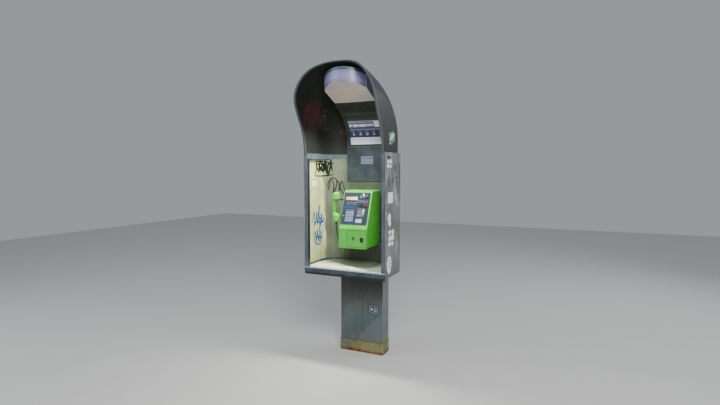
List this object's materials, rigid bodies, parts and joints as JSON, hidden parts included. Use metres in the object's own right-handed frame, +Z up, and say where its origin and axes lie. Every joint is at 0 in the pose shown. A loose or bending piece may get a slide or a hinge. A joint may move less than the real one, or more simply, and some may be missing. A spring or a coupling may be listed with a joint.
{
  "type": "telephone booth",
  "caption": "Pedestal telephone booth: box column, U-plan half cabinet with shelf, domed lamp hood and a payphone with handset, keypad and locked door.",
  "frame": {"origin": "on the ground at the centre of the four anchor bolts in the column's foot", "axes": "+Z up, -Y the open front that a user faces, +X to the user's right"},
  "size_m": [0.644, 0.595, 2.1618],
  "materials": {
    "column_paint": "weathered grey paint, rusted at the foot",
    "skin_paint": "weathered grey paint with stickers",
    "frame_paint": "blue-grey satin paint",
    "liner_cream": "aged cream paint",
    "liner_dark": "shaded grey-green paint",
    "deck_cream": "worn cream paint",
    "steel": "zinc plated",
    "spine_paint": "dark blue-grey satin paint",
    "notice_print": "printed panel",
    "vent_plastic": "ribbed dark olive",
    "hood_grp": "dark moulded shell",
    "trim_rubber": "grey edge trim",
    "diffuser": "milky translucent",
    "tray_white": "white enamel",
    "lamp_glass": "frosted tube",
    "phone_green": "bright green moulding",
    "phone_face": "dark navy faceplate",
    "key_metal": "satin keys",
    "display_orange": "lit display cover",
    "bezel_metal": "polished",
    "alarm_red": "red button",
    "board_green": "circuit board",
    "dark_plastic": "black moulding",
    "cord_black": "black sheath"
  },
  "bodies": {
    "booth": {"base_plate": "column_paint", "pedestal_column": "column_paint", "access_cover": "column_paint", "column_top_flange": "column_paint", "booth_bolts": "steel", "outer_skin": "skin_paint", "floor_pan": "skin_paint", "floor_frame": "frame_paint", "shelf_deck": "deck_cream", "front_rail": "frame_paint", "stile_left": "frame_paint", "stile_right": "frame_paint", "top_rail": "frame_paint", "liner_left": "liner_cream", "liner_right": "liner_cream", "liner_rear": "liner_dark", "backbone_channels": "steel", "spine_panel": "spine_paint", "notice_plate": "notice_print", "vent_strip": "vent_plastic", "lamp_diffuser": "diffuser", "lamp_tray": "tray_white", "lamp_tube": "lamp_glass", "hood_left": "hood_grp", "hood_right": "hood_grp", "hood_rim_trim": "trim_rubber", "phone_chassis": "steel", "phone_housing": "phone_green", "door_hinge_pin": "steel", "coin_box": "steel", "coin_mechanism": "steel", "circuit_board": "board_green", "card_reader": "dark_plastic", "faceplate": "phone_face", "display_window": "display_orange", "coin_slot_bezel": "bezel_metal", "card_slot_bezel": "dark_plastic", "handset_rest": "dark_plastic", "handset_cord": "cord_black", "cord_gland": "dark_plastic"},
    "key_1": {"key_1": "key_metal"},
    "key_2": {"key_2": "key_metal"},
    "key_3": {"key_3": "key_metal"},
    "key_4": {"key_4": "key_metal"},
    "key_5": {"key_5": "key_metal"},
    "key_6": {"key_6": "key_metal"},
    "key_7": {"key_7": "key_metal"},
    "key_8": {"key_8": "key_metal"},
    "key_9": {"key_9": "key_metal"},
    "key_star": {"key_star": "key_metal"},
    "key_0": {"key_0": "key_metal"},
    "key_hash": {"key_hash": "key_metal"},
    "emergency_button": {"emergency_button": "alarm_red"},
    "coin_lever": {"coin_lever": "bezel_metal"},
    "door": {"phone_door": "phone_green", "coin_cup": "dark_plastic"},
    "door_lock": {"door_lock": "bezel_metal"},
    "coin_flap": {"coin_flap": "dark_plastic"},
    "handset": {"handset": "phone_green"},
    "hook_lever": {"hook_lever": "dark_plastic"}
  },
  "joints": [
    {"name": "key_1_press", "type": "slide", "parent": "booth", "child": "key_1", "axis": [0, 0.937, -0.3494], "range_m": [0, 0.0025], "stiffness_N_per_m": 300, "springref_m": -0.001},
    {"name": "key_2_press", "type": "slide", "parent": "booth", "child": "key_2", "axis": [0, 0.937, -0.3494], "range_m": [0, 0.0025], "stiffness_N_per_m": 300, "springref_m": -0.001},
    {"name": "key_3_press", "type": "slide", "parent": "booth", "child": "key_3", "axis": [0, 0.937, -0.3494], "range_m": [0, 0.0025], "stiffness_N_per_m": 300, "springref_m": -0.001},
    {"name": "key_4_press", "type": "slide", "parent": "booth", "child": "key_4", "axis": [0, 0.937, -0.3494], "range_m": [0, 0.0025], "stiffness_N_per_m": 300, "springref_m": -0.001},
    {"name": "key_5_press", "type": "slide", "parent": "booth", "child": "key_5", "axis": [0, 0.937, -0.3494], "range_m": [0, 0.0025], "stiffness_N_per_m": 300, "springref_m": -0.001},
    {"name": "key_6_press", "type": "slide", "parent": "booth", "child": "key_6", "axis": [0, 0.937, -0.3494], "range_m": [0, 0.0025], "stiffness_N_per_m": 300, "springref_m": -0.001},
    {"name": "key_7_press", "type": "slide", "parent": "booth", "child": "key_7", "axis": [0, 0.937, -0.3494], "range_m": [0, 0.0025], "stiffness_N_per_m": 300, "springref_m": -0.001},
    {"name": "key_8_press", "type": "slide", "parent": "booth", "child": "key_8", "axis": [0, 0.937, -0.3494], "range_m": [0, 0.0025], "stiffness_N_per_m": 300, "springref_m": -0.001},
    {"name": "key_9_press", "type": "slide", "parent": "booth", "child": "key_9", "axis": [0, 0.937, -0.3494], "range_m": [0, 0.0025], "stiffness_N_per_m": 300, "springref_m": -0.001},
    {"name": "key_star_press", "type": "slide", "parent": "booth", "child": "key_star", "axis": [0, 0.937, -0.3494], "range_m": [0, 0.0025], "stiffness_N_per_m": 300, "springref_m": -0.001},
    {"name": "key_0_press", "type": "slide", "parent": "booth", "child": "key_0", "axis": [0, 0.937, -0.3494], "range_m": [0, 0.0025], "stiffness_N_per_m": 300, "springref_m": -0.001},
    {"name": "key_hash_press", "type": "slide", "parent": "booth", "child": "key_hash", "axis": [0, 0.937, -0.3494], "range_m": [0, 0.0025], "stiffness_N_per_m": 300, "springref_m": -0.001},
    {"name": "emergency_press", "type": "slide", "parent": "booth", "child": "emergency_button", "axis": [0, 0.937, -0.3494], "range_m": [0, 0.003], "stiffness_N_per_m": 300, "springref_m": -0.001},
    {"name": "coin_lever_slide", "type": "slide", "parent": "booth", "child": "coin_lever", "axis": [0, -0.3494, -0.937], "range_m": [0, 0.008], "stiffness_N_per_m": 250, "springref_m": -0.003},
    {"name": "door_swing", "type": "hinge", "parent": "booth", "child": "door", "pos_m": [-0.028, -0.247, 0.916], "axis": [0, 0, -1], "range_deg": [0, 100]},
    {"name": "lock_turn", "type": "hinge", "parent": "door", "child": "door_lock", "pos_m": [0.018, -0.249, 0.919], "axis": [0, 1, 0], "range_deg": [0, 90]},
    {"name": "flap_swing", "type": "hinge", "parent": "door", "child": "coin_flap", "pos_m": [0.0865, -0.246, 0.927], "axis": [1, 0, 0], "range_deg": [0, 50]},
    {"name": "handset_lift", "type": "slide", "parent": "booth", "child": "handset", "axis": [0, 0, 1], "range_m": [0, 0.06]},
    {"name": "hook_rise", "type": "hinge", "parent": "booth", "child": "hook_lever", "pos_m": [-0.103, -0.144, 1.194], "axis": [-1, 0, 0], "range_deg": [0, 9.2]}
  ],
  "couplings": [
    {"joint": "hook_rise", "follows": "handset_lift", "rad_per_m": 2.618}
  ]
}
